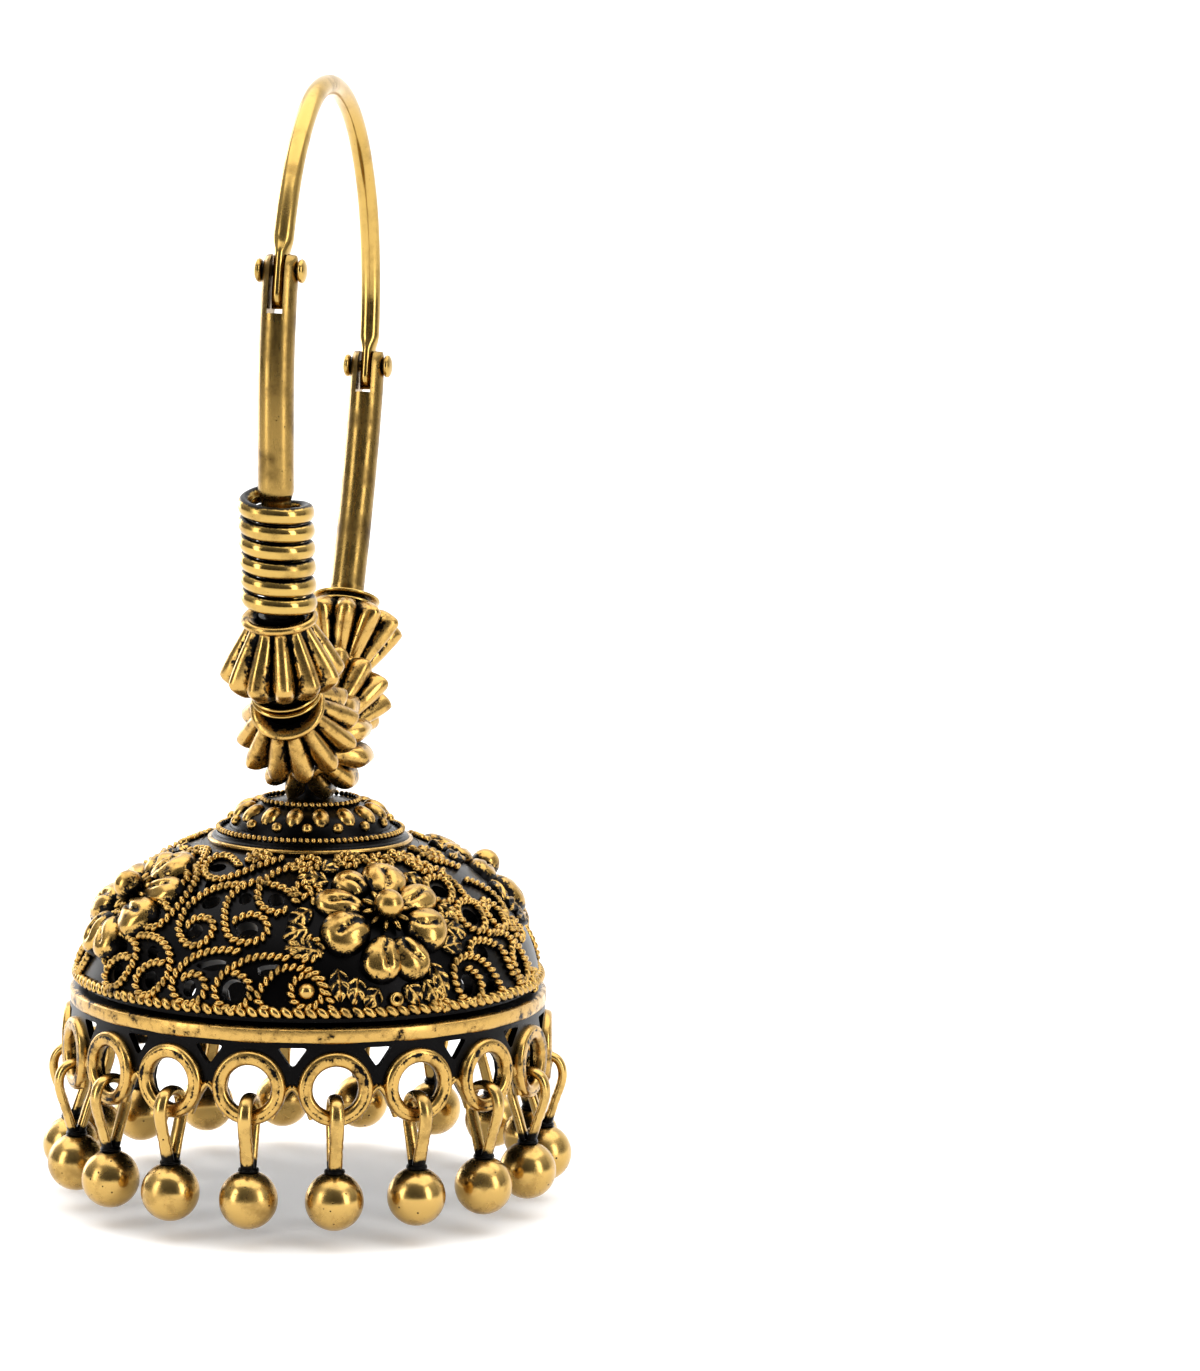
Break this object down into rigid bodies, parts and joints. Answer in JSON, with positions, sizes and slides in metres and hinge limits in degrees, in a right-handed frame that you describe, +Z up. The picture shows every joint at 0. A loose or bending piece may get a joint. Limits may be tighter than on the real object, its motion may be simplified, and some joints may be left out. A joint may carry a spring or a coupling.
{
  "type": "jhumka earring",
  "caption": "Bell-shaped drop earring: a hinged hoop with a wire coil and fluted beads carries a pierced dome fringed with rings and small ball drops.",
  "frame": {"origin": "underside of the ear wire, straight above the bell's axis, where the earring hangs in the ear lobe", "axes": "+Z up along the bell's axis, -Y towards the coil and the catch, +Y towards the hinge, X across the hoop's plane"},
  "size_m": [0.033, 0.0336, 0.0694],
  "materials": {
    "polished_wire": "polished wire and balls with an antiqued gold tone, a few dark pits",
    "brushed_tube": "brushed tube with an antiqued gold tone and fine dark specks",
    "antiqued_cast": "cast relief, gold on its high places and blackened in its recesses"
  },
  "bodies": {
    "hoop": {"hoop_tube": "brushed_tube", "front_catch_rivet": "polished_wire", "rear_hinge_rivet": "polished_wire", "wire_coil": "polished_wire", "fluted_bead_1": "antiqued_cast", "fluted_bead_2": "antiqued_cast", "fluted_bead_4": "antiqued_cast", "fluted_bead_5": "antiqued_cast", "front_washer_1": "polished_wire", "front_washer_2": "polished_wire", "back_washer_1": "polished_wire", "back_washer_2": "polished_wire"},
    "clasp_wire": {"ear_wire": "polished_wire"},
    "bell_drop": {"bell": "antiqued_cast", "ball_drop_01": "polished_wire", "ball_drop_02": "polished_wire", "ball_drop_03": "polished_wire", "ball_drop_04": "polished_wire", "ball_drop_05": "polished_wire", "ball_drop_06": "polished_wire", "ball_drop_07": "polished_wire", "ball_drop_08": "polished_wire", "ball_drop_09": "polished_wire", "ball_drop_10": "polished_wire", "ball_drop_11": "polished_wire", "ball_drop_12": "polished_wire", "ball_drop_13": "polished_wire", "ball_drop_14": "polished_wire", "ball_drop_15": "polished_wire", "ball_drop_16": "polished_wire", "ball_drop_17": "polished_wire", "ball_drop_18": "polished_wire"}
  },
  "joints": [
    {"name": "ear_wire_hinge", "type": "hinge", "parent": "hoop", "child": "clasp_wire", "pos_m": [0, 0.01452, -0.01719], "axis": [-1, 0, 0], "range_deg": [0, 65]},
    {"name": "bell_swing", "type": "hinge", "parent": "hoop", "child": "bell_drop", "pos_m": [0, 0, -0.03946], "axis": [0, 1, 0], "range_deg": [-35, 35]}
  ]
}
